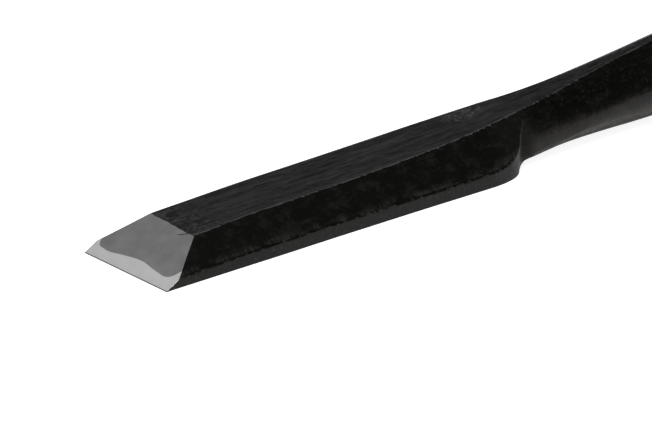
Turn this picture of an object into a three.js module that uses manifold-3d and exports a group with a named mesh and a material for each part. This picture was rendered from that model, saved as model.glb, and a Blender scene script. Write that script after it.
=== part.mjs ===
// Bevel-edged bench chisel for wood, struck with a hammer: laminated blade, conical ferrule,
// oak handle and steel hoop. Units are millimetres and +Z is up. The chisel lies on its flat back with
// the cutting edge towards -X, the handle towards +X and the bevel up. Its origin is the middle of its base.

import * as THREE from 'three';
import { mergeVertices } from 'three/addons/utils/BufferGeometryUtils.js';
import Module from 'manifold-3d';

const wasm = await Module();
wasm.setup();

// ---- Driving dimensions ------------------------------------------------------------------------
// Until the last lines, x is the distance from the cutting edge and z = 0 is the flat back.

const BEVEL_ANGLE = 30.4;           // degrees between the back and the sharpening bevel
const SHOULDER_START = 59.6;        // where the blade's sides begin to turn in
const NECK_START = 61;              // inside the blade
const NECK_END = 110;               // where the neck meets the collar, and s = 0 on the handle's axis
const AXIS_HEIGHT = 6.65;           // height of the handle's axis above the back at NECK_END

// Profiles along the chisel, as [x, value] points joined by smooth curves.
const HALF_WIDTH = [[-3, 9.08], [2, 9.08], [9, 9.04], [22, 8.94], [40, 8.78], [60, 8.87], [74, 8.87]];
const SIDE_FLAT = [[-3, 1.05], [4, 1.3], [15, 1.7], [30, 1.87], [50, 1.96], [66, 2.3], [74, 2.5]];
const TOP_HEIGHT = [[-3, 4.1], [9.3, 4.77], [22, 5.39], [40, 6.05], [58, 6.97], [66, 7.6], [76, 8.47],
    [88, 9.98], [100, 11.48], [NECK_END, 12.6]];
const TOP_HALF = [[-3, 5.3], [9, 5.3], [22, 5.24], [40, 5.19], [52, 4.94], [60, 4.48], [66, 3.87],
    [76, 2.54], [88, 1.33], [100, 0.6], [NECK_END, 0.1]];
const NECK_HALF = [[NECK_START, 5.9], [66, 5.72], [71, 5.54], [76, 5.48], [82, 5.59], [88, 5.66],
    [94, 5.92], [100, 6.14], [NECK_END, 6.05]];
const NECK_MIDDLE = [[NECK_START, 0.95], [66, 1.31], [71, 1.78], [76, 2.49], [88, 4.29], [100, 5.35],
    [NECK_END, AXIS_HEIGHT]];
const NECK_BOTTOM = [[NECK_START, 0.15], [88, 0.12], [94, 0.12], [102, 0.25], [NECK_END, 0.6]];

// How square the neck's section is above and below its widest line: 2 is an ellipse.
const NECK_CROWN = [[NECK_START, 1.8], [66, 2.07], [71, 2.15], [88, 1.93], [NECK_END, 2]];
const NECK_BELLY = [[NECK_START, 2.6], [70, 2.28], [78, 1.95], [94, 2.2], [NECK_END, 2]];

// The neck swells from this share of its section to the whole of it inside the blade.
const NECK_START_SHARE = 0.7;
const NECK_WHOLE = 67.5;

// Hard steel layer forge-welded under the blade: thin in two valleys, thicker in the middle, and wrapped up
// round both edges, higher on one side than on the other.
const STEEL_VALLEY = 0.88;
const STEEL_CREST = 0.3;
const STEEL_CREST_WIDTH = 3.4;
const STEEL_NEAR_WRAP = { rise: 0.98, from: 8, width: 0.35 };
const STEEL_FAR_WRAP = { rise: 0.38, from: 8.93, width: 0.37 };
const STEEL_WRAP_TOP = 2.6;
const STEEL_END = 64;
const STEEL_RUNOUT = 4;
const STEEL_END_SHARE = 0.4;

// Shallow hollow ground in the flat back, with rounded ends.
const HOLLOW_FRONT = 4.6;
const HOLLOW_REAR = 60;
const HOLLOW_FRONT_ROUND = 9;
const HOLLOW_REAR_ROUND = 13;
const HOLLOW_HALF = 7.1;
const HOLLOW_DEPTH = 0.45;

// Handle end, as distances s along the handle's axis from the end of the neck.
const COLLAR_RADIUS = 6.6;
const COLLAR_END = 4;
const GAP = 0.3;                    // clearance between pieces that fit into each other
const FERRULE_FRONT_RADIUS = 6.8;
const FERRULE_REAR_RADIUS = 9.2;
const FERRULE_WALL = 1.2;
const FERRULE_CHAMFER = 0.3;
const FERRULE_START = COLLAR_END + GAP;
const FERRULE_END = 28;
const TANG_END = 76;
const TANG_POINT = 3;               // length of the tang's blunt point
const TANG_ROOT_HALF = 2.7;         // half of the square tang's side at the collar
const TANG_TIP_HALF = 1.5;
const TANG_HOLE_EXTRA = 2;          // depth of the hole past the tang's end
const HOOP_START = 103;
const HOOP_END = 113.5;
const HOOP_RADIUS = 13;
const HOOP_WALL = 2.3;
const HOOP_CHAMFER = 0.6;
const HANDLE_END = 116.5;
const STRIKE_FACE_RADIUS = 7;       // flat middle of the struck end
const MUSHROOM = 0.9;               // how far the struck wood spreads beyond the hoop's bore

// Radius of the wooden barrel between the ferrule and the hoop.
const BARREL = [[FERRULE_END + GAP, FERRULE_REAR_RADIUS - 0.1], [34, 9.5], [42, 10.1], [58, 11.1],
    [74, 11.4], [90, 11.35], [HOOP_START - GAP, 11.1]];

// The ferrule's rear rim touches the surface that the flat back lies on, which sets the handle's tilt.
const HANDLE_TILT = restingTilt(AXIS_HEIGHT, FERRULE_END, FERRULE_REAR_RADIUS);

// Reach of cutting tools past the blade's sides and its back.
const TOOL_HALF = 10;
const TOOL_DEPTH = 1;
const TURNED_SEGMENTS = 48;

// ---- Materials ---------------------------------------------------------------------------------

const blackIron = new THREE.MeshStandardMaterial({ color: 0x1e1e1f, roughness: 0.45, metalness: 0.9 });
const toolSteel = new THREE.MeshStandardMaterial({ color: 0xb9bbbd, roughness: 0.3, metalness: 1 });
const blackSteel = new THREE.MeshStandardMaterial({ color: 0x242425, roughness: 0.5, metalness: 0.9 });
const oak = new THREE.MeshStandardMaterial({ color: 0xb07a46, roughness: 0.6, metalness: 0 });

// ---- Shape helpers -----------------------------------------------------------------------------

/** Tilt, in radians, at which a rim of the given radius, s along the axis, just reaches z = 0. */
function restingTilt(height, s, radius) {
    return Math.atan2(radius, s) - Math.asin(height / Math.hypot(radius, s));
}

/** Value at x of a smooth curve through [x, value] points. */
function along(points, x) {
    const last = points.length - 1;
    let i = 0;
    while (i < last - 1 && x > points[i + 1][0]) i++;
    const slope = (a, b) => (points[b][1] - points[a][1]) / (points[b][0] - points[a][0]);
    const tangent = (k) => slope(Math.max(k - 1, 0), Math.min(k + 1, last));
    const span = points[i + 1][0] - points[i][0];
    const t = THREE.MathUtils.clamp((x - points[i][0]) / span, 0, 1);
    const rise = points[i + 1][1] - points[i][1];
    const bend = (1 - t) * (tangent(i) * span - rise) - t * (tangent(i + 1) * span - rise);
    return points[i][1] + rise * t + t * (1 - t) * bend;
}

/** Evenly spaced values from start to end, both included. */
function steps(start, end, count) {
    return Array.from({ length: count + 1 }, (_, i) => THREE.MathUtils.lerp(start, end, i / count));
}

/** Flat face over one ring, as corner numbers. */
function capTriangles(ring) {
    return THREE.ShapeUtils.triangulateShape(ring.map((point) => new THREE.Vector2(point.y, point.z)), []);
}

/** Closed skin through rings of equal length, in order along +X and counterclockwise as seen from +X. */
function loft(rings) {
    const size = rings[0].length;
    const positions = rings.flat().flatMap((point) => [point.x, point.y, point.z]);
    const index = [];
    for (let r = 0; r < rings.length - 1; r++) {
        for (let i = 0; i < size; i++) {
            const a = r * size + i;
            const b = r * size + (i + 1) % size;
            index.push(a, b, b + size, a, b + size, a + size);
        }
    }
    const tail = (rings.length - 1) * size;
    capTriangles(rings[0]).forEach(([a, b, c]) => index.push(a, c, b));
    capTriangles(rings.at(-1)).forEach(([a, b, c]) => index.push(tail + a, tail + b, tail + c));
    const geometry = new THREE.BufferGeometry();
    geometry.setAttribute('position', new THREE.Float32BufferAttribute(positions, 3));
    geometry.setIndex(index);
    return geometry;
}

/** Solid turned about the handle's axis. The [s, radius] outline starts and ends on the axis or is a loop. */
function turned(outline) {
    const profile = outline.map(([s, radius]) => new THREE.Vector2(radius, s));
    return new THREE.LatheGeometry(profile, TURNED_SEGMENTS).rotateZ(-Math.PI / 2);
}

/** Moves a geometry from the handle's own axis, along +X from its origin, to its place on the chisel. */
function onHandleAxis(geometry) {
    return geometry.rotateY(-HANDLE_TILT).translate(NECK_END, 0, AXIS_HEIGHT);
}

function toSolid(geometry) {
    const bare = new THREE.BufferGeometry();
    bare.setAttribute('position', geometry.getAttribute('position'));
    bare.setIndex(geometry.getIndex());
    const merged = mergeVertices(bare, 1e-5);
    const vertProperties = new Float32Array(merged.getAttribute('position').array);
    const triVerts = new Uint32Array(merged.getIndex().array);
    return new wasm.Manifold(new wasm.Mesh({ numProp: 3, vertProperties, triVerts }));
}

function toGeometry(solid) {
    const { vertProperties, triVerts } = solid.getMesh();
    const geometry = new THREE.BufferGeometry();
    geometry.setAttribute('position', new THREE.BufferAttribute(vertProperties, 3));
    geometry.setIndex(new THREE.BufferAttribute(triVerts, 1));
    geometry.computeVertexNormals();
    return geometry;
}

function part(name, geometry, material) {
    const mesh = new THREE.Mesh(geometry, material);
    mesh.name = name;
    return mesh;
}

// ---- Blade, neck, collar and tang: one forging -------------------------------------------------

/** Blade section: flat back, low side flats, long side bevels and a flat top. */
function bladeRing(x) {
    const half = along(HALF_WIDTH, x);
    const side = along(SIDE_FLAT, x);
    const top = along(TOP_HEIGHT, x);
    const topHalf = along(TOP_HALF, x);
    const corners = [[half, 0], [half, side], [topHalf, top], [-topHalf, top], [-half, side], [-half, 0]];
    return corners.map(([y, z]) => new THREE.Vector3(x, y, z));
}

/** Looking down on the blade: straight sides that turn in through a rounded shoulder to the neck. */
function shoulderOutline() {
    const cornerStart = new THREE.Vector2(SHOULDER_START, 8.86);
    const cornerPull = new THREE.Vector2(64.7, 8.68);
    const slopeStart = new THREE.Vector2(66.8, 6.25);
    const slopeEnd = new THREE.Vector2(72.2, 1.7);
    const corner = new THREE.QuadraticBezierCurve(cornerStart, cornerPull, slopeStart).getPoints(12);
    const pastEdge = new THREE.Vector2(-6, TOOL_HALF);
    const beforeCorner = new THREE.Vector2(SHOULDER_START - 0.3, TOOL_HALF);
    const side = [pastEdge, beforeCorner, ...corner, slopeEnd];
    const mirrored = side.map((point) => new THREE.Vector2(point.x, -point.y)).reverse();
    return new THREE.Shape([...mirrored, ...side]);
}

/** Neck section: a narrowing flat on top, a crowned upper half and a rounded lower half. */
function neckRing(x) {
    const half = along(NECK_HALF, x);
    const middle = along(NECK_MIDDLE, x);
    const drop = middle - along(NECK_BOTTOM, x);
    const topHalf = along(TOP_HALF, x);
    const rise = along(TOP_HEIGHT, x) - middle;
    const crown = along(NECK_CROWN, x);
    const belly = along(NECK_BELLY, x);
    const arch = rise / (1 - (topHalf / half) ** crown) ** (1 / crown);
    const flatStart = Math.acos((topHalf / half) ** (crown / 2));
    const quarter = 9;
    const upper = steps(0, flatStart, quarter)
        .map((a) => [half * Math.cos(a) ** (2 / crown), arch * Math.sin(a) ** (2 / crown)]);
    const lower = steps(0, Math.PI / 2, quarter)
        .map((a) => [half * Math.cos(a) ** (2 / belly), -drop * Math.sin(a) ** (2 / belly)]);
    const right = [...lower.slice(1).reverse(), ...upper];
    const left = right.slice(1).reverse().map(([y, z]) => [-y, z]);
    const swell = THREE.MathUtils.smoothstep(x, NECK_START, NECK_WHOLE);
    const share = THREE.MathUtils.lerp(NECK_START_SHARE, 1, swell);
    return [...right, ...left].map(([y, z]) => new THREE.Vector3(x, share * y, middle + share * z));
}

/** Square section of the tang, s along the handle's axis. */
function squareRing(s, half) {
    return [[1, -1], [1, 1], [-1, 1], [-1, -1]].map(([y, z]) => new THREE.Vector3(s, y * half, z * half));
}

/** Top of the hard steel layer above the back, across the blade. */
function weldLine(y) {
    const crest = STEEL_CREST * Math.exp(-((y / STEEL_CREST_WIDTH) ** 2));
    const wrap = ({ rise, from, width }, distance) => rise * Math.exp((distance - from) / width);
    const level = STEEL_VALLEY + crest + wrap(STEEL_NEAR_WRAP, -y) + wrap(STEEL_FAR_WRAP, y);
    return Math.min(level, STEEL_WRAP_TOP);
}

/** Everything under the weld, as a section across the blade. */
function steelRing(x) {
    const runout = THREE.MathUtils.clamp((STEEL_END - x) / STEEL_RUNOUT, 0, 1);
    const share = THREE.MathUtils.lerp(STEEL_END_SHARE, 1, runout);
    const base = [[-TOOL_HALF, -TOOL_DEPTH], [TOOL_HALF, -TOOL_DEPTH]];
    const top = steps(TOOL_HALF, -TOOL_HALF, 48).map((y) => [y, weldLine(y) * share]);
    return [...base, ...top].map(([y, z]) => new THREE.Vector3(x, y, z));
}

/** The hollow of the back as a shallow arch. */
function hollowRing(x) {
    const fromFront = Math.min((x - HOLLOW_FRONT) / HOLLOW_FRONT_ROUND, 1);
    const fromRear = Math.min((HOLLOW_REAR - x) / HOLLOW_REAR_ROUND, 1);
    const leastFill = 0.04;
    const fill = Math.max(1 - (1 - Math.min(fromFront, fromRear)) ** 2, leastFill);
    const half = HOLLOW_HALF * Math.sqrt(fill);
    const depth = HOLLOW_DEPTH * fill;
    const base = [[-half, -TOOL_DEPTH], [half, -TOOL_DEPTH]];
    const arch = steps(1, -1, 10).map((t) => [t * half, depth * (1 - t * t)]);
    return [...base, ...arch].map(([y, z]) => new THREE.Vector3(x, y, z));
}

function bladeSolid() {
    const stations = [...steps(-3, 9, 3), 15, 22, 30, 40, 50, ...steps(56, 74, 9)];
    const height = 15;
    const outline = new THREE.ExtrudeGeometry(shoulderOutline(), { depth: height, bevelEnabled: false })
        .translate(0, 0, -TOOL_DEPTH);
    return toSolid(loft(stations.map(bladeRing))).intersect(toSolid(outline));
}

function neckSolid() {
    const stations = [...steps(NECK_START, 73, 8), ...steps(75, NECK_END, 17)];
    return toSolid(loft(stations.map(neckRing)));
}

function collarSolid() {
    const root = -1.5;
    const rim = 0.4;
    return toSolid(onHandleAxis(turned([
        [root, 0],
        [root, 5.7],
        [0.4, 6.1],
        [1.3, COLLAR_RADIUS - 0.1],
        [1.9, COLLAR_RADIUS],
        [COLLAR_END - rim, COLLAR_RADIUS],
        [COLLAR_END, COLLAR_RADIUS - rim],
        [COLLAR_END, 0],
    ])));
}

function tangSolid() {
    return toSolid(onHandleAxis(loft([
        squareRing(COLLAR_END - 1, TANG_ROOT_HALF),
        squareRing(TANG_END - TANG_POINT, TANG_TIP_HALF),
        squareRing(TANG_END, TANG_TIP_HALF / 2),
    ])));
}

/** What the sharpening bevel takes away: everything above a slope that starts at the cutting edge. */
function bevelCutter() {
    const size = 40;
    const block = new THREE.BoxGeometry(size, size, size).translate(0, 0, size / 2);
    return toSolid(block.rotateY(-THREE.MathUtils.degToRad(BEVEL_ANGLE)));
}

function hollowCutter() {
    const front = steps(HOLLOW_FRONT, HOLLOW_FRONT + HOLLOW_FRONT_ROUND, 8);
    const rear = steps(HOLLOW_REAR - HOLLOW_REAR_ROUND, HOLLOW_REAR, 9);
    return toSolid(loft([...front, ...rear].map(hollowRing)));
}

function bladeParts() {
    const forged = bladeSolid().add(neckSolid()).add(collarSolid()).add(tangSolid());
    const ground = forged.subtract(bevelCutter()).subtract(hollowCutter());
    const layer = toSolid(loft([-3, STEEL_END - STEEL_RUNOUT, STEEL_END].map(steelRing)));
    return [
        part('blade_body', toGeometry(ground.subtract(layer)), blackIron),
        part('cutting_steel', toGeometry(ground.intersect(layer)), toolSteel),
    ];
}

// ---- Ferrule, handle and hoop ------------------------------------------------------------------

/** Outer radius of the conical ferrule, s along the handle's axis. */
function ferruleRadius(s) {
    const share = (s - FERRULE_START) / (FERRULE_END - FERRULE_START);
    return THREE.MathUtils.lerp(FERRULE_FRONT_RADIUS, FERRULE_REAR_RADIUS, share);
}

function ferrule() {
    const bore = (s) => ferruleRadius(s) - FERRULE_WALL;
    return part('ferrule', onHandleAxis(turned([
        [FERRULE_START, bore(FERRULE_START)],
        [FERRULE_START, FERRULE_FRONT_RADIUS - FERRULE_CHAMFER],
        [FERRULE_START + FERRULE_CHAMFER, ferruleRadius(FERRULE_START + FERRULE_CHAMFER)],
        [FERRULE_END, FERRULE_REAR_RADIUS],
        [FERRULE_END, bore(FERRULE_END)],
        [FERRULE_START, bore(FERRULE_START)],
    ])), blackSteel);
}

/** Oak handle: a cone in the ferrule, a barrel, a seat for the hoop and a struck end spread wider. */
function handle() {
    const nose = (s) => ferruleRadius(s) - FERRULE_WALL - GAP;
    const noseStart = FERRULE_START + GAP;
    const barrelStart = FERRULE_END + GAP;
    const seat = HOOP_RADIUS - HOOP_WALL - GAP;
    const barrel = new THREE.SplineCurve(BARREL.map(([s, radius]) => new THREE.Vector2(s, radius)));
    const wood = toSolid(onHandleAxis(turned([
        [noseStart, 0],
        [noseStart, nose(noseStart)],
        [barrelStart, nose(barrelStart)],
        ...barrel.getPoints(20).map((point) => [point.x, point.y]),
        [HOOP_START - GAP, seat],
        [HOOP_END + GAP, seat],
        [HOOP_END + 0.7, seat + MUSHROOM],
        [HOOP_END + 1.5, seat + MUSHROOM - 0.1],
        [HANDLE_END - 0.5, seat - 1.2],
        [HANDLE_END, STRIKE_FACE_RADIUS],
        [HANDLE_END, 0],
    ])));
    const hole = toSolid(onHandleAxis(loft([
        squareRing(0, TANG_ROOT_HALF + 2 * GAP),
        squareRing(TANG_END + TANG_HOLE_EXTRA, TANG_TIP_HALF + GAP),
    ])));
    return part('handle', toGeometry(wood.subtract(hole)), oak);
}

function hoop() {
    const inner = HOOP_RADIUS - HOOP_WALL;
    return part('hoop', onHandleAxis(turned([
        [HOOP_START, inner],
        [HOOP_START, HOOP_RADIUS - HOOP_CHAMFER],
        [HOOP_START + HOOP_CHAMFER, HOOP_RADIUS],
        [HOOP_END - HOOP_CHAMFER, HOOP_RADIUS],
        [HOOP_END, HOOP_RADIUS - HOOP_CHAMFER],
        [HOOP_END, inner],
        [HOOP_START, inner],
    ])), blackSteel);
}

// ---- Assembly ----------------------------------------------------------------------------------

const chisel = new THREE.Group();
chisel.add(...bladeParts(), ferrule(), handle(), hoop());
const extent = new THREE.Box3().setFromObject(chisel);
chisel.position.x = -(extent.min.x + extent.max.x) / 2;

export default chisel;
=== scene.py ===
import math
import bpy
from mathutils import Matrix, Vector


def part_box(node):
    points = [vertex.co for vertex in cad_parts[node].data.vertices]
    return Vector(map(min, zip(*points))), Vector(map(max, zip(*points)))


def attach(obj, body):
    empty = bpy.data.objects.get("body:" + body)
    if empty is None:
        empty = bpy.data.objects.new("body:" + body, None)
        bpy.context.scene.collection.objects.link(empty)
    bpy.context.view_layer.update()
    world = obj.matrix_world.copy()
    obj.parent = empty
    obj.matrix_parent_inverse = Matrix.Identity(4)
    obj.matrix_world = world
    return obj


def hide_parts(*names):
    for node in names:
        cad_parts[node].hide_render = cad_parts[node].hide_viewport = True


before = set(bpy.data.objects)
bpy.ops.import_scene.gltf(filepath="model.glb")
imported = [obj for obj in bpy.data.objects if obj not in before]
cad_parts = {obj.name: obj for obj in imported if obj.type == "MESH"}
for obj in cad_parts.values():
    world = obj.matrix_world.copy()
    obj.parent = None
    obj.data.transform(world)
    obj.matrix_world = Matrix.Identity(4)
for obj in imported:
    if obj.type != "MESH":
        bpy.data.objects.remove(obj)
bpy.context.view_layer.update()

from types import SimpleNamespace

import bpy
import numpy as np
from mathutils import Matrix, Vector

# A struck bench chisel for wood: a black laminated blade with a bright sharpened bevel, a round neck, a
# conical ferrule, an oak handle and a steel hoop. Shapes are worked out in millimetres. x is the distance
# from the cutting edge, y runs across the blade and z is the height above the flat back. Along the handle, s
# is the distance from the end of the neck on the handle's own axis, which is tilted up.

MM = 0.001
EDGE_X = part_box("cutting_steel")[0].x          # the cutting edge's place in the frame, in metres
EDGE_MM = EDGE_X / MM

# ---- Driving dimensions, in millimetres ----------------------------------------------------------

BEVEL_SLOPE = math.tan(math.radians(30.4))     # the sharpening bevel
BEVEL_LENGTH = 7.9                             # about where it meets the top
EDGE_THICKNESS = 0.012
NECK_START = 61                                # inside the blade
NECK_START_SHARE = 0.7                         # of its section that it has there
NECK_WHOLE = 67.5
NECK_END = 110
AXIS_HEIGHT = 6.65                             # of the handle's axis at the end of the neck

# Profiles along the chisel, as (x, value) points joined by smooth curves.
HALF_WIDTH = [(-3, 9.08), (2, 9.08), (9, 9.04), (22, 8.94), (40, 8.78), (60, 8.87), (74, 8.87)]
SIDE_FLAT = [(-3, 1.05), (4, 1.3), (15, 1.7), (30, 1.87), (50, 1.96), (66, 2.3), (74, 2.5)]
TOP_HEIGHT = [(-3, 4.1), (9.3, 4.77), (22, 5.39), (40, 6.05), (58, 6.97), (66, 7.6), (76, 8.47), (88, 9.98),
              (100, 11.48), (NECK_END, 12.6)]
TOP_HALF = [(-3, 5.3), (9, 5.3), (22, 5.24), (40, 5.19), (52, 4.94), (60, 4.48), (66, 3.87), (76, 2.54),
            (88, 1.33), (100, 0.6), (NECK_END, 0.1)]
NECK_HALF = [(NECK_START, 5.9), (66, 5.72), (71, 5.54), (76, 5.48), (82, 5.59), (88, 5.66), (94, 5.92),
             (100, 6.14), (NECK_END, 6.05)]
NECK_MIDDLE = [(NECK_START, 0.95), (66, 1.31), (71, 1.78), (76, 2.49), (88, 4.29), (100, 5.35),
               (NECK_END, AXIS_HEIGHT)]
NECK_BOTTOM = [(NECK_START, 0.15), (88, 0.12), (94, 0.12), (102, 0.25), (NECK_END, 0.6)]

# How square the neck's section is above and below its widest line: 2 is an ellipse.
NECK_CROWN = [(NECK_START, 1.8), (66, 2.07), (71, 2.15), (88, 1.93), (NECK_END, 2)]
NECK_BELLY = [(NECK_START, 2.6), (70, 2.28), (78, 1.95), (94, 2.2), (NECK_END, 2)]

# The blade was ground by hand: the top is narrower by this much on the -y and the +y side, and its front
# slopes down to -y.
NEAR_LOSS = [(-3, 0.45), (8, 0.42), (16, 0.6), (24, 0.42), (40, 0.3), (54, 0.35), (66, 0.3), (76, 0),
             (88, 0.15), (NECK_END, 0)]
FAR_LOSS = [(-3, 0.2), (8, 0.1), (24, 0)]
TOP_TILT = [(-3, 0.024), (8, 0.024), (40, 0)]

# The shoulder seen from above, as (x, y): a rounded corner, then a slope in towards the neck.
SHOULDER_START = (59.6, 8.86)
SHOULDER_PULL = (64.7, 8.68)
SLOPE_START = (66.8, 6.25)
SLOPE_END = (72.2, 1.7)

# Top of the hard steel layer above the back, as (y, z) points across the blade, and the layer's extent.
WELD = [(-9.6, 2.5), (-8.7, 2.25), (-8.2, 1.8), (-7.75, 1.35), (-7.2, 1.08), (-6.3, 0.97), (-5, 1.03),
        (-3.6, 1.11), (-2.4, 1.22), (-1.2, 1.29), (0.2, 1.28), (1.8, 1.18), (3.4, 1.06), (4.7, 0.94),
        (5.8, 0.89), (7, 0.94), (7.9, 1.03), (8.4, 1.3), (8.8, 1.7), (9.6, 2.2)]
STEEL_END = 64
STEEL_RUNOUT = 4
STEEL_END_SHARE = 0.4                          # of its thickness that the layer has at its end

# The shallow hollow ground in the flat back, with rounded ends.
HOLLOW_FRONT = 4.6
HOLLOW_REAR = 60
HOLLOW_FRONT_ROUND = 9
HOLLOW_REAR_ROUND = 13
HOLLOW_HALF = 7.1
HOLLOW_DEPTH = 0.45

GAP = 0.3                                      # between fitted pieces, where it doesn't show
SEAM = 0.05                                    # between pieces whose joint shows
COLLAR_RADIUS = 6.6
COLLAR_END = 4
COLLAR_PROFILE = [(0, 6.03), (0.5, 6.1), (0.9, 6.22), (1.2, 6.4), (1.5, 6.53), (1.9, 6.59),
                  (2.4, COLLAR_RADIUS), (3.2, COLLAR_RADIUS), (3.55, 6.57), (3.8, 6.47), (3.95, 6.3),
                  (COLLAR_END, 6.1), (COLLAR_END, 4.5)]
TANG_END = 76
TANG_POINT = 3                                 # length of the tang's blunt point
TANG_ROOT_HALF = 2.7
TANG_TIP_HALF = 1.5
TANG_HOLE_EXTRA = 2                            # depth of the hole past the tang's end
FERRULE_START = COLLAR_END + SEAM
FERRULE_END = 28
FERRULE_FRONT_RADIUS = 6.8
FERRULE_REAR_RADIUS = 9.2
FERRULE_WALL = 1.2
HOOP_START = 103
HOOP_END = 113.5
HOOP_RADIUS = 13
HOOP_WALL = 2.3
HOOP_SEAT = HOOP_RADIUS - HOOP_WALL - GAP      # radius of the handle inside the hoop
BARREL_START = FERRULE_END + SEAM
BARREL_END = HOOP_START - SEAM
BARREL_PROFILE = [(BARREL_START, FERRULE_REAR_RADIUS - 0.1), (34, 9.5), (42, 10.1), (58, 11.1), (74, 11.4),
                  (90, 11.35), (BARREL_END, 11.1)]
HANDLE_END = 116.5

# The handle's tilt: the ferrule's rear rim rests on the same surface as the flat back.
TILT = (math.atan2(FERRULE_REAR_RADIUS, FERRULE_END)
        - math.asin(AXIS_HEIGHT / math.hypot(FERRULE_REAR_RADIUS, FERRULE_END)))


# ---- Numbers and curves --------------------------------------------------------------------------

def along(points, x):
    """Values at x of a smooth curve through (x, value) points."""
    px, pv = np.array(points, float).T
    last = len(px) - 1
    i = np.clip(np.searchsorted(px, x, side="left") - 1, 0, last - 1)
    before = np.maximum(np.arange(last + 1) - 1, 0)
    after = np.minimum(np.arange(last + 1) + 1, last)
    tangent = (pv[after] - pv[before]) / (px[after] - px[before])
    span = px[i + 1] - px[i]
    t = np.clip((x - px[i]) / span, 0, 1)
    rise = pv[i + 1] - pv[i]
    bend = (1 - t) * (tangent[i] * span - rise) - t * (tangent[i + 1] * span - rise)
    return pv[i] + rise * t + t * (1 - t) * bend


def smooth_step(start, end, x):
    """0 before start and 1 past end, or the other way round where end is the lower."""
    t = np.clip((x - start) / (end - start), 0, 1)
    return t * t * (3 - 2 * t)


def soft_min(values, sharpness):
    """The least of positive values, with a small rounding where two are alike."""
    least = np.minimum.reduce(values)
    return least * sum((v / least) ** -sharpness for v in values) ** (-1 / sharpness)


def soft_max(values, sharpness):
    """The greatest of positive values, with a small rounding where two are alike."""
    most = np.maximum.reduce(values)
    return most * sum((v / most) ** sharpness for v in values) ** (1 / sharpness)


def spaced(start, end, count, dense):
    """count + 1 values from start to end, packed close at "both" ends, at the "end" or at "none"."""
    u = np.linspace(0, 1, count + 1)
    if dense == "both":
        u = (1 - np.cos(np.pi * u)) / 2
    elif dense == "end":
        u = np.sin(np.pi * u / 2)
    return start + (end - start) * u


def wobble(seed, *coordinates):
    """Smooth irregular values of about -1 to 1 at points given by their coordinates."""
    random = np.random.default_rng(seed)
    total = 0
    waves = 7
    for _ in range(waves):
        direction = random.normal(size=len(coordinates))
        phase = random.uniform(0, 2 * np.pi)
        total = total + np.sin(sum(d * c for d, c in zip(direction, coordinates)) + phase)
    return total / math.sqrt(waves)


# ---- Meshes --------------------------------------------------------------------------------------

def skin(rings, closed=False):
    """Vertices and faces of a skin through rings of equal length, an array of rings x points x 3.

    A closed skin's last ring joins its first. An open one has a flat cap on its first and last ring.
    """
    count, size = rings.shape[:2]
    faces = []
    pairs = count if closed else count - 1
    for r in range(pairs):
        a, b = r * size, (r + 1) % count * size
        for i in range(size):
            j = (i + 1) % size
            faces.append((a + i, a + j, b + j, b + i))
    if not closed:
        last = (count - 1) * size
        faces += [tuple(reversed(range(size))), tuple(range(last, last + size))]
    return rings.reshape(-1, 3), faces


def to_frame(points):
    """Millimetres from the cutting edge, to metres in the frame."""
    return points * MM + np.array([EDGE_X, 0, 0])


def ring_about_axis(s, radius, angles):
    """Points (s, y, height off the axis) of a ring about the handle's axis."""
    return np.stack([np.full(len(angles), float(s)), radius * np.cos(angles), radius * np.sin(angles)], -1)


def on_handle_axis(points):
    """From (s, y, height off the axis) to (x, y, z)."""
    s, y, h = np.moveaxis(points, -1, 0)
    x = NECK_END + s * math.cos(TILT) - h * math.sin(TILT)
    z = AXIS_HEIGHT + s * math.sin(TILT) + h * math.cos(TILT)
    return np.stack([x, y, z], -1)


def mesh_object(name, vertices, faces):
    """A new object in the scene, from vertices in millimetres."""
    mesh = bpy.data.meshes.new(name)
    mesh.from_pydata(to_frame(vertices).tolist(), [], faces)
    mesh.validate()
    return linked(name, mesh)


def linked(name, data):
    """A new object that holds the data, in the scene."""
    made = bpy.data.objects.new(name, data)
    bpy.context.scene.collection.objects.link(made)
    return made


def smooth(piece, sharp_angle=32):
    """Smooth shading, with edges kept sharp where faces meet at more than the angle, in degrees."""
    piece.data.shade_smooth()
    piece.data.set_sharp_from_angle(angle=math.radians(sharp_angle))


def cut(name, piece, cutter, operation):
    """A new object: piece less the cutter, or what they share."""
    modifier = piece.modifiers.new("cut", "BOOLEAN")
    modifier.object = cutter
    modifier.operation = operation
    modifier.solver = "MANIFOLD"
    depsgraph = bpy.context.evaluated_depsgraph_get()
    mesh = bpy.data.meshes.new_from_object(piece.evaluated_get(depsgraph))
    piece.modifiers.remove(modifier)
    mesh.name = name
    return linked(name, mesh)


def show(piece, node, material):
    """The piece stands for a CAD node, in its own material."""
    piece.data.materials.clear()
    piece.data.materials.append(material)
    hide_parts(node)
    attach(piece, "root")


# ---- The forging: blade, neck, collar and tang ---------------------------------------------------

EDGE_SHARPNESS = 220         # of the ground corners: a higher number is a smaller rounding
FILLET_SHARPNESS = 12        # of the hollow corner between shoulder and neck
RIDGE_WAVE = 0.04            # unevenness of the top where the bevel meets it, in millimetres
FLAT_WAVE = 0.035            # and of the side flats' upper edge

# Steps along each side of half a section, and where they lie closer together. The sides are the back, the
# side flat, the side bevel and the top.
HALF_STEPS = [(34, "end"), (10, "both"), (26, "both"), (22, "both")]

# The sections' points follow the blade's corners before the first x, and the neck's round from the second.
ROUND_FROM = (67.5, 70.5)


def shoulder_half_width(x):
    """Half of the blade's width at x as the shoulder's outline limits it."""
    t = np.linspace(0, 1, 60)[:, None]
    start, pull, slope = (np.array(p) for p in (SHOULDER_START, SHOULDER_PULL, SLOPE_START))
    corner = (1 - t) ** 2 * start + 2 * t * (1 - t) * pull + t ** 2 * slope
    before = [[0, 30], [SHOULDER_START[0] - 0.3, 12]]
    after = [SLOPE_END, [SLOPE_END[0] + 1, 1], [200, 0.9]]
    outline = np.vstack([*before, corner, *after])
    return np.interp(x, outline[:, 0], outline[:, 1])


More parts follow.
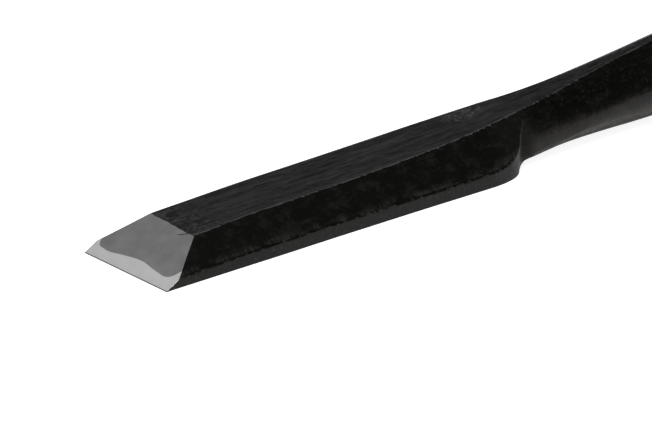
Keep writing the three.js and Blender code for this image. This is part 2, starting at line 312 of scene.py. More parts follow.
def blade_stations():
    """Places of the sections along the blade and neck."""
    ridge = along(TOP_HEIGHT, BEVEL_LENGTH) / BEVEL_SLOPE
    cutting_edge = [0, 0.03, 0.08, 0.16, 0.28, 0.45, 0.7]
    bevel = np.arange(1, ridge - 0.5, 0.3)
    about_ridge = ridge + np.linspace(-0.4, 0.4, 21)
    blade = np.arange(ridge + 0.7, 59, 0.6)
    shoulders = np.arange(59.2, 73, 0.15)
    neck = np.arange(73.3, NECK_END - 1, 0.6)
    return np.concatenate([cutting_edge, bevel, about_ridge, blade, shoulders, neck, [NECK_END - 0.5]])


def corner_angles(corners, middle):
    """Angles from a height in the middle to points spread along the straight sides between (y, z) corners."""
    angles = []
    for a, b, (count, dense) in zip(corners, corners[1:], HALF_STEPS):
        y, z = (spaced(a[k], b[k], count, dense)[:-1] for k in (0, 1))
        angles.append(np.arctan2(z - middle, y))
    return np.append(np.concatenate(angles), np.pi / 2)


def round_angles(flat_start):
    """As many angles for a round section, from straight down to straight up.

    flat_start is the angle at which its flat top begins.
    """
    turns = [-np.pi / 2, -0.9, -0.35, flat_start, np.pi / 2]
    packing = ["none", "none", "end", "none"]
    angles = [spaced(a, b, count, dense)[:-1]
              for a, b, (count, _), dense in zip(turns, turns[1:], HALF_STEPS, packing)]
    return np.append(np.concatenate(angles), np.pi / 2)


def neck_radius(x, middle, top, top_half, cos, sin):
    """Reach of the neck's rounded section from its middle, at angles of the given cosine and sine."""
    profiles = (NECK_HALF, NECK_BOTTOM, NECK_CROWN, NECK_BELLY)
    half, bottom, crown, belly = (float(along(p, x)) for p in profiles)
    arch = (top - middle) / (1 - (top_half / half) ** crown) ** (1 / crown)
    depth = middle - bottom
    above = ((cos / half) ** crown + (np.maximum(sin, 0) / arch) ** crown) ** (-1 / crown)
    below = ((cos / half) ** belly + (np.maximum(-sin, 0) / depth) ** belly) ** (-1 / belly)
    swell = NECK_START_SHARE + (1 - NECK_START_SHARE) * smooth_step(NECK_START, NECK_WHOLE, x)
    return np.where(sin > 0, above, below) * swell


def blade_section(x, loss, direction):
    """Middle height, angles and radii of half a section, from under the middle up to the top.

    direction is 1 for the +y half and -1 for the -y half, and loss is how much narrower the top is there.
    """
    half, side, top, top_half = (float(along(p, x)) for p in (HALF_WIDTH, SIDE_FLAT, TOP_HEIGHT, TOP_HALF))
    top_half -= float(along(loss, x))
    side += FLAT_WAVE * float(wobble(3, x / 2.1)) * smooth_step(6, 14, x)
    ground = x * BEVEL_SLOPE + EDGE_THICKNESS
    height = float(soft_min([np.float64(top), np.float64(ground)], EDGE_SHARPNESS))
    width = min(half, float(shoulder_half_width(x)))
    middle = min(height / 2, float(along(NECK_MIDDLE, max(x, NECK_START))))
    slope = (top_half - half) / (top - side)

    crease_height = min(height, max(side, side + (width - half) / slope))
    upper_half = min(width, half + slope * (height - side)) if height > side else width
    corners = [(0, 0), (width, 0), (width, crease_height), (upper_half, height), (0, height)]
    angles = corner_angles(corners, middle)
    share = smooth_step(*ROUND_FROM, x)
    if share > 0:
        flat_start = math.atan2(height - middle, top_half)
        angles = (1 - share) * angles + share * round_angles(flat_start)
    cos, sin = np.maximum(np.cos(angles), 1e-6), np.sin(angles)

    def reach(distance, along_y, along_z):
        """Radii to a plane at a distance from the middle, which faces (along_y, along_z)."""
        facing = along_y * cos + along_z * sin
        out_of_reach = 1e3
        return np.where(facing > 1e-4, distance / np.maximum(facing, 1e-4), out_of_reach)

    normal = np.array([top - side, half - top_half])
    normal /= np.hypot(*normal)
    side_bevel = reach(normal[0] * half + normal[1] * (side - middle), *normal)
    radius = soft_min([reach(middle, 0, -1), reach(width, 1, 0), side_bevel], EDGE_SHARPNESS)
    if x > NECK_START:
        neck = neck_radius(x, middle, top, top_half, cos, sin)
        radius = soft_max([radius, neck], FILLET_SHARPNESS * (1 + 9 * smooth_step(-0.1, 0.7, sin)))
    y_at_top = direction * (top - middle) * cos / np.maximum(sin, 0.3)
    ragged = RIDGE_WAVE * wobble(7, 1.8 * y_at_top, x / 4) * smooth_step(12, 9.5, x)
    tilted_top = reach(top - middle + ragged, -direction * float(along(TOP_TILT, x)), 1)
    radius = soft_min([radius, reach(ground - middle, 0, 1), tilted_top], EDGE_SHARPNESS)
    return middle, angles, radius


def hollow(x, y):
    """Depth of the hollow ground in the flat back."""
    from_front = np.minimum((x - HOLLOW_FRONT) / HOLLOW_FRONT_ROUND, 1)
    from_rear = np.minimum((HOLLOW_REAR - x) / HOLLOW_REAR_ROUND, 1)
    fill = np.clip(1 - (1 - np.minimum(from_front, from_rear)) ** 2, 0, 1)
    half = HOLLOW_HALF * np.sqrt(fill)
    inside = np.clip(1 - (y / np.maximum(half, 1e-6)) ** 2, 0, 1)
    return np.where(fill > 0, HOLLOW_DEPTH * fill * inside, 0)


def half_ring(x, loss, direction):
    """Points of the section at x, from under the middle up to the top, on the +y or the -y side."""
    middle, angles, radius = blade_section(x, loss, direction)
    roughness = 0.012 + 0.02 * smooth_step(60, 75, x)
    along_y, along_z = direction * np.cos(angles), np.sin(angles)
    radius = radius + roughness * smooth_step(9, 12, x) * wobble(5, x / 3, 3 * along_y, 3 * along_z)
    y, z = radius * along_y, radius * along_z + middle
    if x < HOLLOW_REAR:
        y[0] = 0
        on_back = (along_z < 0) & (z < 0.05)
        z = np.where(on_back, np.maximum(z, 0) + hollow(x, y), z)
    z = np.maximum(z, 0)
    tilt = TILT * smooth_step(92, NECK_END, x)
    return np.stack([x - (z - middle) * math.sin(tilt), y, middle + (z - middle) * math.cos(tilt)], -1)


def square(angles, half):
    """Radii of a square section with slightly rounded corners."""
    power = 10
    return half * (abs(np.cos(angles)) ** power + abs(np.sin(angles)) ** power) ** (-1 / power)


def forging():
    """The forging in one piece, with the hard steel: blade, neck, collar and square tang."""
    stations = blade_stations()
    rings = []
    for x in stations:
        far, near = half_ring(x, FAR_LOSS, 1), half_ring(x, NEAR_LOSS, -1)
        rings.append(np.vstack([far, near[-2:0:-1]]))
    angles = blade_section(stations[-1], NEAR_LOSS, -1)[1]
    turn = np.concatenate([angles, (np.pi - angles)[-2:0:-1]])
    sections = list(COLLAR_PROFILE)
    tang_span = [COLLAR_END, TANG_END - TANG_POINT]
    for s in np.linspace(*tang_span, 20):
        sections.append((s, square(turn, np.interp(s, tang_span, [TANG_ROOT_HALF, TANG_TIP_HALF]))))
    sections.append((TANG_END, square(turn, TANG_TIP_HALF / 2)))
    rings += [on_handle_axis(ring_about_axis(s, radius, turn)) for s, radius in sections]
    return skin(np.array(rings))


def steel_layer():
    """A slab from below the back up to the weld, to split the forging with."""
    half, bottom = 9.6, -1
    y = np.linspace(half, -half, 240)
    top = along(WELD, y)
    runout_start = STEEL_END - STEEL_RUNOUT
    stations = np.append(np.linspace(-2, runout_start, 60), np.linspace(runout_start + 0.5, STEEL_END, 8))
    rings = []
    for x in stations:
        whole = np.clip((STEEL_END - x) / STEEL_RUNOUT, 0, 1)
        drift = 0.05 * wobble(11, np.full(len(y), x / 5), y / 4) * smooth_step(8, 16, x)
        z = (top + drift) * (STEEL_END_SHARE + (1 - STEEL_END_SHARE) * whole)
        upper = np.stack([np.full(len(y), x), y, z], -1)
        rings.append(np.vstack([[x, -half, bottom], [x, half, bottom], upper]))
    return skin(np.array(rings))


def mark_edges(piece):
    """Stores distances on each vertex, in millimetres, for the materials.

    They are how far it lies inside the top's edge and from the crease, and the depth of the hollow there.
    """
    x, y, z = (np.array([v.co for v in piece.data.vertices]) - [EDGE_X, 0, 0]).T / MM
    half, side, top, top_half = (along(p, x) for p in (HALF_WIDTH, SIDE_FLAT, TOP_HEIGHT, TOP_HALF))
    top_half = top_half - np.where(y < 0, along(NEAR_LOSS, x), along(FAR_LOSS, x))
    width = np.minimum(half, shoulder_half_width(x))
    crease = side + (half - width) * (top - side) / (half - top_half)
    marks = {
        "inside_top": top_half - abs(y),
        "crease": np.hypot(abs(y) - width, z - crease),
        "hollow": np.where(z < 2 * HOLLOW_DEPTH, hollow(x, y), 0),
    }
    for name, values in marks.items():
        stored = piece.data.attributes.new(name, "FLOAT", "POINT")
        stored.data.foreach_set("value", values.astype(np.float32))


def make_blade(iron_material, steel_material):
    """The forging, split along the weld into the soft iron body and the hard steel layer."""
    whole = mesh_object("whole_forging", *forging())
    layer = mesh_object("layer_slab", *steel_layer())
    body = cut("blade_body_forged", whole, layer, "DIFFERENCE")
    steel = cut("cutting_steel_layer", whole, layer, "INTERSECT")
    for helper in (whole, layer):
        bpy.data.objects.remove(helper)
    for piece in (body, steel):
        mark_edges(piece)
        smooth(piece, 14)
    show(body, "blade_body", iron_material)
    show(steel, "cutting_steel", steel_material)


# ---- Ferrule, handle and hoop --------------------------------------------------------------------

TURN = np.linspace(0, 2 * np.pi, 145)[:-1]


def uneven(seed, s, times):
    """Smooth unevenness of 0 to about 2 round the ring at s. times sets how often it rises and falls."""
    return 1 + wobble(seed, s, times * np.cos(TURN), times * np.sin(TURN))


def turned(profile, radii):
    """A closed (s, r) profile turned about the handle's axis, as a skin with radii(s, r) round each ring."""
    rings = [ring_about_axis(s, radii(s, r), TURN) for s, r in profile]
    return skin(on_handle_axis(np.array(rings)), closed=True)


def rounded(points, radius, steps=4):
    """A closed (s, r) outline with its corners turned in small arcs."""
    points = [np.array(p, float) for p in points]
    out = []
    for before, corner, after in zip(points[-1:] + points[:-1], points, points[1:] + points[:1]):
        a, b = before - corner, after - corner
        reach = min(radius, np.hypot(*a) / 2.2, np.hypot(*b) / 2.2)
        a, b = corner + a / np.hypot(*a) * reach, corner + b / np.hypot(*b) * reach
        for t in np.linspace(0, 1, steps + 1):
            out.append((1 - t) ** 2 * a + 2 * t * (1 - t) * corner + t ** 2 * b)
    return out


def subdivided(points, longest):
    """A closed outline with no step longer than the given length."""
    out = []
    for a, b in zip(points, points[1:] + points[:1]):
        count = max(1, math.ceil(np.hypot(*(b - a)) / longest))
        out += [a + (b - a) * t for t in np.arange(count) / count]
    return out


def make_ferrule(material):
    """A conical ring with a forged, slightly uneven outside."""
    front_bore, rear_bore = FERRULE_FRONT_RADIUS - FERRULE_WALL, FERRULE_REAR_RADIUS - FERRULE_WALL
    outline = [(FERRULE_START, front_bore), (FERRULE_START, FERRULE_FRONT_RADIUS),
               (FERRULE_END, FERRULE_REAR_RADIUS), (FERRULE_END, rear_bore)]

    def forged(s, r):
        bore_rise = (rear_bore - front_bore) * (s - FERRULE_START) / (FERRULE_END - COLLAR_END)
        outside = smooth_step(front_bore + 0.1, front_bore + 1, r - bore_rise)
        return r - outside * 0.025 * uneven(21, s / 2.5, 4)

    piece = mesh_object("ferrule_cone", *turned(subdivided(rounded(outline, 0.4), 0.8), forged))
    smooth(piece)
    show(piece, "ferrule", material)


def make_hoop(material):
    """A ring with rounded rims and a forged, slightly uneven outside."""
    inner = HOOP_RADIUS - HOOP_WALL
    outline = [(HOOP_START, inner), (HOOP_START, HOOP_RADIUS - 0.25), (HOOP_START + 4, HOOP_RADIUS),
               (HOOP_END - 3, HOOP_RADIUS), (HOOP_END, HOOP_RADIUS - 0.4), (HOOP_END, inner)]

    def forged(s, r):
        outside = smooth_step(inner + 0.3, HOOP_RADIUS - 0.6, r)
        return r - outside * 0.05 * uneven(31, s / 2.2, 5)

    piece = mesh_object("hoop_ring", *turned(subdivided(rounded(outline, 0.9, 6), 0.6), forged))
    smooth(piece)
    show(piece, "hoop", material)


def nose_radius(s):
    """Radius of the handle inside the ferrule."""
    share = (s - FERRULE_START) / (FERRULE_END - FERRULE_START)
    return FERRULE_FRONT_RADIUS + (FERRULE_REAR_RADIUS - FERRULE_FRONT_RADIUS) * share - FERRULE_WALL - GAP


def handle_outline():
    """(s, r) points of the handle's outside, from its front face to the middle of the struck end."""
    nose_start = FERRULE_START + GAP
    front = [(nose_start, r) for r in np.linspace(4.2, nose_radius(nose_start), 4)]
    nose = [(s, nose_radius(s)) for s in np.linspace(nose_start + 1, BARREL_START - 0.01, 12)]
    barrel = [(s, float(along(BARREL_PROFILE, s))) for s in np.linspace(BARREL_START, BARREL_END, 110)]
    seat = [(BARREL_END, HOOP_SEAT)] + [(s, HOOP_SEAT) for s in np.linspace(HOOP_START + 1, HOOP_END, 6)]
    over_hoop = [(GAP, 0), (0.5, 0.35), (0.75, 0.8), (1.1, 0.95), (1.6, 0.75), (2, 0.2), (2.4, -0.8)]
    struck = [(HOOP_END + ahead, HOOP_SEAT + out) for ahead, out in over_hoop]
    struck += [(HANDLE_END - 0.35, HOOP_SEAT - 2), (HANDLE_END - 0.12, HOOP_SEAT - 2.9)]
    struck += [(HANDLE_END, r) for r in (7, 5, 3, 1)]
    return front + nose + barrel + seat + struck


def handle_radii(s, r):
    """Radii round the handle: slightly uneven on the barrel, more so where hammering has spread the end."""
    on_barrel = (smooth_step(BARREL_START, BARREL_START + 1.5, s)
                 * (1 - smooth_step(HOOP_START - 2, HOOP_START - 0.5, s)))
    spread = smooth_step(HOOP_END + 0.3, HOOP_END + 0.9, s) * smooth_step(7, HOOP_SEAT - 1, r)
    hammered = 1 + wobble(43, 9 * np.cos(TURN), 9 * np.sin(TURN))
    return r - 0.03 * on_barrel * uneven(41, s / 9, 3) - 0.16 * spread * hammered


def make_handle(material):
    """The turned handle, with a square hole for the tang."""
    hole_span = [0, TANG_END + TANG_HOLE_EXTRA]
    rings = []
    for s in np.linspace(hole_span[1], FERRULE_START + GAP, 24):
        half = np.interp(s, hole_span, [TANG_ROOT_HALF + 2 * GAP, TANG_TIP_HALF + GAP])
        rings.append(ring_about_axis(s, square(TURN, half), TURN))
    rings += [ring_about_axis(s, handle_radii(s, r), TURN) for s, r in handle_outline()]
    piece = mesh_object("handle_turned", *skin(on_handle_axis(np.array(rings))))
    smooth(piece, 40)
    show(piece, "handle", material)


# ---- Materials -----------------------------------------------------------------------------------

class Shader:
    """A node material under construction, with short calls for its nodes."""

    def __init__(self, name):
        self.material = bpy.data.materials.new(name)
        self.material.use_nodes = True
        self.tree = self.material.node_tree
        self.surface = self.tree.nodes["Principled BSDF"]
        self.coordinates = self.node("ShaderNodeTexCoord")

    def node(self, kind, **settings):
        made = self.tree.nodes.new(kind)
        for key, value in settings.items():
            setattr(made, key, value)
        return made

    def feed(self, socket, value):
        """Links another node's output to the socket, or sets the socket to a number or a colour."""
        if isinstance(value, bpy.types.NodeSocket):
            self.tree.links.new(value, socket)
        else:
            socket.default_value = value

    def math(self, operation, a, b=0.0):
        made = self.node("ShaderNodeMath", operation=operation)
        self.feed(made.inputs[0], a)
        self.feed(made.inputs[1], b)
        return made.outputs[0]

    def product(self, first, *others):
        for other in others:
            first = self.math("MULTIPLY", first, other)
        return first

    def total(self, first, *others):
        for other in others:
            first = self.math("ADD", first, other)
        return first

    def ramp(self, value, low, high, out_low=0.0, out_high=1.0, smooth_ends=True):
        """out_low to out_high as the value goes from low to high."""
        kind = "SMOOTHSTEP" if smooth_ends else "LINEAR"
        made = self.node("ShaderNodeMapRange", interpolation_type=kind)
        for socket, number in zip(made.inputs[:5], (value, low, high, out_low, out_high)):
            self.feed(socket, number)
        return made.outputs[0]

    def mix(self, share, a, b):
        """Colour a, with this share of colour b."""
        made = self.node("ShaderNodeMix", data_type="RGBA")
        self.feed(made.inputs["Factor"], share)
        self.feed(made.inputs[6], a)
        self.feed(made.inputs[7], b)
        return made.outputs[2]

    def layers(self, colour, *over):
        """The colour with others laid over it in turn, each given as (share, colour)."""
        for share, other in over:
            colour = self.mix(share, colour, other)
        return colour

    def axes(self, vector):
        made = self.node("ShaderNodeSeparateXYZ")
        self.feed(made.inputs[0], vector)
        return made.outputs

    def facing(self):
        """X, Y and Z of the direction that the surface faces."""
        return self.axes(self.coordinates.outputs["Normal"])

    def position(self, scale, turn=(0, 0, 0)):
        """Place on the object, scaled along each axis: (1, 1, 1) gives millimetres."""
        made = self.node("ShaderNodeMapping", vector_type="POINT")
        self.feed(made.inputs["Vector"], self.coordinates.outputs["Object"])
        made.inputs["Rotation"].default_value = turn
        made.inputs["Scale"].default_value = [k / MM for k in scale]
        return made.outputs[0]

    def place(self, turn=(0, 0, 0)):
        """X, Y and Z of the place on the object, in millimetres."""
        return self.axes(self.position((1, 1, 1), turn))

    def noise(self, scale, turn=(0, 0, 0), detail=3, roughness=0.6):
        """A noise of values about 0.5. scale is how often it varies per millimetre along each axis."""
        made = self.node("ShaderNodeTexNoise")
        self.feed(made.inputs["Vector"], self.position(scale, turn))
        made.inputs["Scale"].default_value = 1
        made.inputs["Detail"].default_value = detail
        made.inputs["Roughness"].default_value = roughness
        return made.outputs["Fac"]

    def stored(self, name):
        """A distance that mark_edges keeps on the mesh."""
        return self.node("ShaderNodeAttribute", attribute_name=name).outputs["Fac"]

    def spot(self, centre, size, turn=0.0):
        """1 in an ellipse of half sizes x and y about a place on the top or the bevel, and 0 outside."""
        made = self.node("ShaderNodeMapping", vector_type="TEXTURE")
        self.feed(made.inputs["Vector"], self.coordinates.outputs["Object"])
        made.inputs["Location"].default_value = [MM * k for k in (EDGE_MM + centre[0], centre[1], 0)]
        made.inputs["Rotation"].default_value = (0, 0, turn)
        made.inputs["Scale"].default_value = [MM * k for k in (*size, 1)]
        x, y = (self.axes(made.outputs[0])[axis] for axis in "XY")
        return self.ramp(self.total(self.product(x, x), self.product(y, y)), 0.4, 1, 1.0, 0.0)

    def bump(self, height, depth):
        """A surface direction for a height of 0 to 1, which stands for the depth in millimetres."""
        made = self.node("ShaderNodeBump")
        made.inputs["Strength"].default_value = 1
        made.inputs["Distance"].default_value = depth * MM
        self.feed(made.inputs["Height"], height)
        return made.outputs[0]

    def finish(self, **inputs):
        """The material, with the surface's named inputs fed."""
        for key, value in inputs.items():
            self.feed(self.surface.inputs[key.replace("_", " ").title()], value)
        return self.material


def grey(value, blue=1.0):
    """A grey colour, warmer where its share of blue is below 1."""
    return (value, value, value * blue, 1)


def forging_patterns(shader):
    """The noises that the black finish is mixed from."""
    return SimpleNamespace(
        specks=shader.noise((1.6, 2.2, 2.2)),
        streaks=shader.noise((0.3, 4.6, 4.6), detail=4, roughness=0.7),
        bands=shader.noise((0.07, 1.5, 1.5)),
        grain=shader.noise((1.3, 5.5, 5.5), (0, 0, 0.06), roughness=0.7),
        scuffs=shader.noise((1.5, 2.6, 2.6), (0, 0, 0.5), roughness=0.7),
        blotches=shader.noise((0.4, 0.55, 0.55), detail=4, roughness=0.65),
        hatching=shader.noise((5.5, 0.45, 0.45), (0, 0.42, 0)),
        crosswise=shader.noise((2.6, 0.9, 0.9), (0, 0.3, 0), detail=4, roughness=0.65),
    )


def forging_places(shader, pattern):
    """Distances on the forging, and masks of the top, the blade, the side flats and the neck's underside."""
    facing, place = shader.facing(), shader.place()
    from_edge = shader.math("SUBTRACT", place["X"], EDGE_MM)
    edge_wander = shader.ramp(pattern.specks, 0.2, 0.8, -0.18, 0.18, smooth_ends=False)
    inside_top = shader.total(shader.stored("inside_top"), edge_wander)
    on_blade = shader.ramp(from_edge, 69, 72, 1.0, 0.0)
    sideways = shader.ramp(shader.math("ABSOLUTE", facing["Y"]), 0.93, 0.985)
    return SimpleNamespace(
        from_edge=from_edge,
        height=place["Z"],
        facing_up=facing["Z"],
        inside_top=inside_top,
        from_crease=shader.stored("crease"),
        on_top=shader.product(shader.ramp(inside_top, -0.04, 0.04), shader.ramp(facing["Z"], 0.2, 0.5)),
        on_blade=on_blade,
        on_flat=shader.product(sideways, on_blade),
        underneath=shader.product(shader.ramp(facing["Z"], 0.4, 0.1), shader.ramp(from_edge, 66, 69)),
    )


def top_finish(shader, pattern, at):
    """Tone of the top's lengthwise grinding, and the top's colour with worn edges that carry a painted
    highlight, specks, scuffs and a painted shade towards the shoulder.
    """
    tone = shader.total(shader.product(pattern.streaks, 0.5), shader.product(pattern.bands, 0.3),
                        shader.product(pattern.grain, 0.2))
    # Lighter specks along the top's edge: partly real wear, partly a painted highlight of the light that the
    # rounded arris catches.
    wear_and_highlight = shader.ramp(shader.total(pattern.specks, shader.product(at.on_blade, 0.08)), 0.42, 0.62)
    worn_edge_and_highlight = shader.product(shader.ramp(at.inside_top, 0.12, 0.4, 1.0, 0.0), wear_and_highlight)
    behind_bevel = shader.ramp(at.from_edge, 9, 18, 1.0, 0.0)
    pits, glints = shader.ramp(pattern.specks, 0.46, 0.36), shader.ramp(pattern.specks, 0.54, 0.66)
    patch = shader.product(shader.spot((63.2, 2.2), (4.6, 2.4)), shader.ramp(pattern.scuffs, 0.46, 0.62))
    colour = shader.layers(
        shader.mix(shader.ramp(tone, 0.37, 0.63), grey(0.006), grey(0.041)),
        # Painted shade: the top is darkened from 50 to 58 mm to undo the light that its rising slope near the
        # shoulder catches.
        (shader.product(shader.ramp(at.from_edge, 50, 58), 0.25), grey(0.008)),
        (worn_edge_and_highlight, grey(0.07)),
        (shader.product(pits, behind_bevel, 0.8), grey(0.003)),
        (shader.product(glints, behind_bevel, 0.5), grey(0.075)),
        (shader.math("MAXIMUM", patch, shader.ramp(pattern.scuffs, 0.69, 0.78)), grey(0.068)),
    )
    return tone, colour


def side_finish(shader, pattern, at):
    """The band of cross marks above the crease, and the colour of the side bevels and the neck, with a
    painted shade line just above the crease and a painted highlight along it.
    """
    mottled = shader.product(shader.ramp(pattern.blotches, 0.48, 0.7),
                             shader.ramp(at.on_blade, 0, 1, 0.5, 1.0))
    speckled = shader.product(shader.ramp(pattern.specks, 0.5, 0.68),
                              shader.ramp(pattern.blotches, 0.4, 0.6, 0.15, 0.9))
    low_band = shader.product(shader.ramp(at.from_crease, 0.3, 1.5, 1.0, 0.0),
                              shader.ramp(pattern.blotches, 0.38, 0.56),
                              shader.ramp(at.height, 3.5, 5, 1.0, 0.0))
    # Painted shade: a thin dark line just above the crease, standing in for the shadow under its edge.
    crease_shade_line = shader.product(shader.ramp(at.from_crease, 0.26, 0.36, 1.0, 0.0),
                            shader.ramp(pattern.bands, 0.44, 0.54), at.on_blade)
    # Lighter specks right at the crease: partly real rubbing, partly a painted highlight of the light that
    # the rounded edge catches.
    rubbed_and_highlit_crease = shader.product(shader.ramp(at.from_crease, 0.06, 0.25, 1.0, 0.0),
                            shader.ramp(pattern.specks, 0.48, 0.65), at.on_blade)
    rust = shader.product(at.underneath, shader.ramp(pattern.blotches, 0.46, 0.62))
    colour = shader.layers(
        shader.mix(at.on_blade, (0.0024, 0.0028, 0.0018, 1), grey(0.003, 0.85)),
        (mottled, grey(0.0095, 0.85)),
        (speckled, grey(0.011, 0.85)),
        (shader.product(shader.ramp(pattern.hatching, 0.42, 0.58), low_band), grey(0.026, 0.9)),
        (crease_shade_line, grey(0.001)),
        (rubbed_and_highlit_crease, grey(0.04, 0.8)),
        (rust, (0.014, 0.0088, 0.006, 1)),
    )
    return low_band, colour


def flat_finish(shader, pattern):
    """Colour of the low side flats."""
    return shader.layers(
        shader.mix(shader.ramp(pattern.crosswise, 0.4, 0.62), grey(0.0002), grey(0.0025, 0.6)),
        (shader.ramp(pattern.blotches, 0.52, 0.68), grey(0.005, 0.6)),
        (shader.ramp(pattern.specks, 0.54, 0.72), grey(0.013, 0.7)),
    )


def black_finish(shader):
    """Colour, roughness and bump of the ground and blackened surfaces of the forging."""
    pattern = forging_patterns(shader)
    at = forging_places(shader, pattern)
    top_tone, top_colour = top_finish(shader, pattern, at)
    low_band, side_colour = side_finish(shader, pattern, at)
    colour = shader.layers(side_colour, (at.on_flat, flat_finish(shader, pattern)), (at.on_top, top_colour))

    grinding = shader.math("MAXIMUM", at.on_flat, shader.product(at.underneath, 2.5))
    height = shader.total(shader.product(pattern.streaks, 0.5), shader.product(pattern.hatching, low_band),
                          shader.product(pattern.crosswise, grinding))

    at_shoulder = shader.product(shader.ramp(at.from_edge, 60, 65), at.on_blade)
    facing_down = shader.product(at.underneath, shader.ramp(at.facing_up, -0.35, -0.75))
    roughness = shader.total(
        shader.ramp(top_tone, 0.3, 0.7, 0.33, 0.42),
        shader.product(at.on_flat, 0.08),
        shader.product(at.underneath, shader.ramp(pattern.specks, 0.35, 0.65, -0.06, 0.1)),
        shader.product(at_shoulder, 0.18),
        shader.ramp(at.on_blade, 0, 1, -0.08, 0.0),
        shader.product(facing_down, 0.36),
    )
    return colour, roughness, shader.bump(height, 0.02)


def polished(shader, bright, dull):
    """Colour of the bright metal, with a dark line at the very edge and a small nick in the bevel."""
    cloud = shader.noise((0.4, 0.3, 0.4), detail=2, roughness=0.55)
    scratches = shader.noise((0.8, 9, 9), (0, 0, 0.5), detail=2, roughness=0.55)
    tone = shader.total(shader.product(cloud, 0.7), shader.product(scratches, 0.3))
    at_edge = shader.ramp(shader.place()["X"], EDGE_MM + 0.05, EDGE_MM + 0.2, 1.0, 0.0)
    on_upper_side = shader.ramp(shader.facing()["Z"], 0.2, 0.5)
    nick = shader.product(shader.spot((7.45, -3.05), (1.1, 0.11), -1.13), on_upper_side)
    colour = shader.mix(shader.ramp(tone, 0.3, 0.7), grey(dull), grey(bright))
    return shader.mix(shader.math("MAXIMUM", at_edge, nick), colour, grey(0.06))


def bevel_mask(shader):
    """1 on the sharpening bevel, which faces forward and up, and 0 elsewhere."""
    facing = shader.ramp(shader.facing()["X"], -0.42, -0.3, 1.0, 0.0)
    near = shader.ramp(shader.place()["X"], EDGE_MM + 8.6, EDGE_MM + 9.2, 1.0, 0.0)
    return shader.product(facing, near)


def bladed(name, bright, dull, bright_back):
    """A material of the forging: polished on the bevel, black elsewhere, bright on the flat back if asked.

    bright and dull are the greys between which the polished metal's colour varies.
    """
    shader = Shader(name)
    black, black_roughness, black_bump = black_finish(shader)
    colour = polished(shader, bright, dull)
    metal, roughness = bevel_mask(shader), 0.3
    if bright_back:
        metal = shader.math("MAXIMUM", metal, shader.ramp(shader.facing()["Z"], -0.9, -0.97))
        in_hollow = shader.ramp(shader.stored("hollow"), 0.004, 0.05)
        ground = shader.noise((0.5, 3, 3), (0, 0, 0.12), roughness=0.65)
        hollow_colour = shader.mix(shader.ramp(ground, 0.35, 0.65), grey(0.2), grey(0.34))
        colour = shader.mix(in_hollow, colour, hollow_colour)
        roughness = shader.ramp(in_hollow, 0, 1, 0.3, 0.48)
    shader.surface.inputs["Specular IOR Level"].default_value = 0.17
    return shader.finish(
        base_color=shader.mix(metal, black, colour),
        metallic=metal,
        roughness=shader.ramp(metal, 0, 1, black_roughness, roughness, smooth_ends=False),
        normal=black_bump,
    )


def black_steel():
    """The forged black skin of the ferrule and the hoop."""
    shader = Shader("black_steel_finish")
    mottle = shader.noise((0.9, 0.9, 0.9), detail=4, roughness=0.55)
    fine = shader.noise((5, 5, 5), detail=2, roughness=0.55)
    shader.surface.inputs["Specular IOR Level"].default_value = 0.35
    return shader.finish(
        base_color=shader.mix(shader.ramp(mottle, 0.3, 0.7), grey(0.006), grey(0.022)),
        metallic=0.2,
        roughness=shader.ramp(mottle, 0.3, 0.7, 0.34, 0.5),
        normal=shader.bump(fine, 0.03),
    )


PITH = (9, -17)                # the tree's middle, across the handle and up, in millimetres from its axis
RING_SPACING = 1.7
RING_WANDER = 3.2              # how far the rings stray from circles


def oak():
    """Growth rings about the pith, which run the length of the handle and show as arcs on its end."""
    shader = Shader("oak_finish")
    turn = (0, TILT, 0)
    pores = shader.noise((0.25, 6, 6), turn)
    figure = shader.noise((0.03, 0.55, 0.55), turn)
    wander = shader.noise((0.018, 0.16, 0.16), turn, detail=2, roughness=0.55)

    place = shader.place(turn)
    across = shader.math("SUBTRACT", place["Y"], PITH[0])
    up = shader.math("SUBTRACT", place["Z"], AXIS_HEIGHT + PITH[1])
    radius = shader.math("SQRT", shader.total(shader.product(across, across), shader.product(up, up)))
    wandering = shader.total(radius, shader.product(wander, RING_WANDER))
    phase = shader.product(wandering, 2 * math.pi / RING_SPACING)
    early_wood = shader.ramp(shader.math("SINE", phase), 0.1, 1)

    open_pores = shader.total(pores, shader.product(early_wood, 0.06))
    from_struck_end = shader.math("SUBTRACT", place["X"], EDGE_MM + NECK_END + HANDLE_END)
    colour = shader.layers(
        shader.mix(shader.ramp(figure, 0.3, 0.7), (0.31, 0.155, 0.065, 1), (0.46, 0.255, 0.115, 1)),
        (shader.product(early_wood, 0.45), (0.25, 0.12, 0.05, 1)),
        (shader.ramp(open_pores, 0.56, 0.7), (0.12, 0.055, 0.025, 1)),
        (shader.product(shader.ramp(from_struck_end, -1.6, -0.3), 0.35), (0.15, 0.08, 0.04, 1)),
    )
    return shader.finish(
        base_color=colour,
        roughness=shader.ramp(pores, 0.4, 0.7, 0.42, 0.6),
        normal=shader.bump(open_pores, 0.05),
    )


# ---- Studio --------------------------------------------------------------------------------------

CAMERA_AZIMUTH = -40.65                        # degrees
CAMERA_ELEVATION = 21.16
CAMERA_TARGET = Vector((EDGE_X + 0.0003, 0, 0))
CAMERA_DISTANCE = 0.3596                       # from the target, measured along the view
CAMERA_OFFSET = Vector((0.0264, 0.00723))      # right and up of the line through the target
CAMERA_LENS = 150
CAMERA_SENSOR = 36

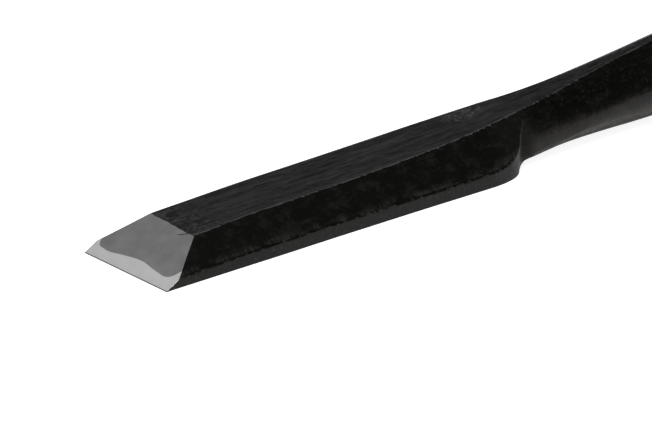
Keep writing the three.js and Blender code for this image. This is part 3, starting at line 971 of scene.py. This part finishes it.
# Soft lights as name, direction from the blade, distance, width, height and radiance.
SOFT_LIGHTS = [
    ("key", (-0.6, -0.1, 0.8), 1.3, 1.1, 1.1, 4.5),
    ("back", (-0.02, 0.71, 0.71), 1.2, 0.7, 0.5, 0.8),
    ("near", (0.08, -0.7, 0.71), 1.2, 0.6, 0.5, 0.8),
    ("over", (0.16, 0.05, 0.98), 1.2, 0.5, 0.5, 0.8),
    ("near_side", (-0.58, -0.69, 0.42), 1.2, 0.7, 0.5, 0.7),
    ("far_side", (-0.6, 0.7, 0.38), 1.2, 0.7, 0.5, 0.7),
]
BACKDROP_LIGHT = 0.028                         # how brightly the white backdrop lights the object
FLOOR_GLOW = 0.89
FLOOR_HALF = 40
FLOOR_DROP = 0.0002                            # below the surface that the chisel rests on


def make_camera():
    """A long lens that looks down along the blade from the -y side and from in front of the edge."""
    a, e = math.radians(CAMERA_AZIMUTH), math.radians(CAMERA_ELEVATION)
    right = Vector((math.cos(a), math.sin(a), 0))
    back = Vector((math.sin(a) * math.cos(e), -math.cos(a) * math.cos(e), math.sin(e)))
    up = back.cross(right)
    data = bpy.data.cameras.new("camera")
    data.lens = CAMERA_LENS
    data.sensor_width = CAMERA_SENSOR
    data.clip_start = 0.01
    camera = linked("camera", data)
    place = CAMERA_TARGET + CAMERA_OFFSET.x * right + CAMERA_OFFSET.y * up + CAMERA_DISTANCE * back
    camera.matrix_world = Matrix.Translation(place) @ Matrix((right, up, back)).transposed().to_4x4()
    bpy.context.scene.camera = camera


def soft_light(name, direction, distance, width, height, radiance):
    """A rectangular lamp facing the blade. radiance is how bright its face looks."""
    data = bpy.data.lights.new(name, "AREA")
    data.shape = "RECTANGLE"
    data.size, data.size_y = width, height
    data.energy = radiance * math.pi * width * height
    lamp = linked(name, data)
    direction = Vector(direction).normalized()
    lamp.location = Vector((EDGE_X / 2, 0, 0)) + distance * direction
    lamp.rotation_euler = direction.to_track_quat("Z", "Y").to_euler()


def make_backdrop():
    """A world that the camera sees as white and that gives only a little light."""
    world = bpy.data.worlds.new("studio")
    world.use_nodes = True
    nodes, links = world.node_tree.nodes, world.node_tree.links
    nodes["Background"].inputs["Color"].default_value = grey(1)
    seen_or_lighting = nodes.new("ShaderNodeMapRange")
    seen_or_lighting.inputs["To Min"].default_value = BACKDROP_LIGHT
    seen_or_lighting.inputs["To Max"].default_value = 1
    links.new(nodes.new("ShaderNodeLightPath").outputs["Is Camera Ray"], seen_or_lighting.inputs["Value"])
    links.new(seen_or_lighting.outputs["Result"], nodes["Background"].inputs["Strength"])
    bpy.context.scene.world = world


def make_floor():
    """A large sheet of pale paper that gives off some light of its own."""
    shader = Shader("floor_paper")
    grain = shader.noise((0.4, 0.4, 0.4), detail=2, roughness=0.55)
    shader.surface.inputs["Emission Color"].default_value = grey(1)
    shader.surface.inputs["Emission Strength"].default_value = FLOOR_GLOW
    shader.finish(base_color=shader.mix(grain, grey(0.58), grey(0.62)), roughness=0.9)
    corners = [(-FLOOR_HALF, -FLOOR_HALF), (FLOOR_HALF, -FLOOR_HALF), (FLOOR_HALF, FLOOR_HALF),
               (-FLOOR_HALF, FLOOR_HALF)]
    mesh = bpy.data.meshes.new("floor")
    mesh.from_pydata([(x, y, -FLOOR_DROP) for x, y in corners], [], [(0, 1, 2, 3)])
    mesh.materials.append(shader.material)
    floor = linked("floor", mesh)


make_camera()
bpy.context.scene.view_settings.view_transform = "Standard"
make_backdrop()
for light in SOFT_LIGHTS:
    soft_light(*light)
make_floor()

make_blade(
    bladed("black_iron_finish", bright=0.26, dull=0.2, bright_back=False),
    bladed("tool_steel_finish", bright=0.66, dull=0.6, bright_back=True),
)
ring_steel = black_steel()
make_ferrule(ring_steel)
make_handle(oak())
make_hoop(ring_steel)
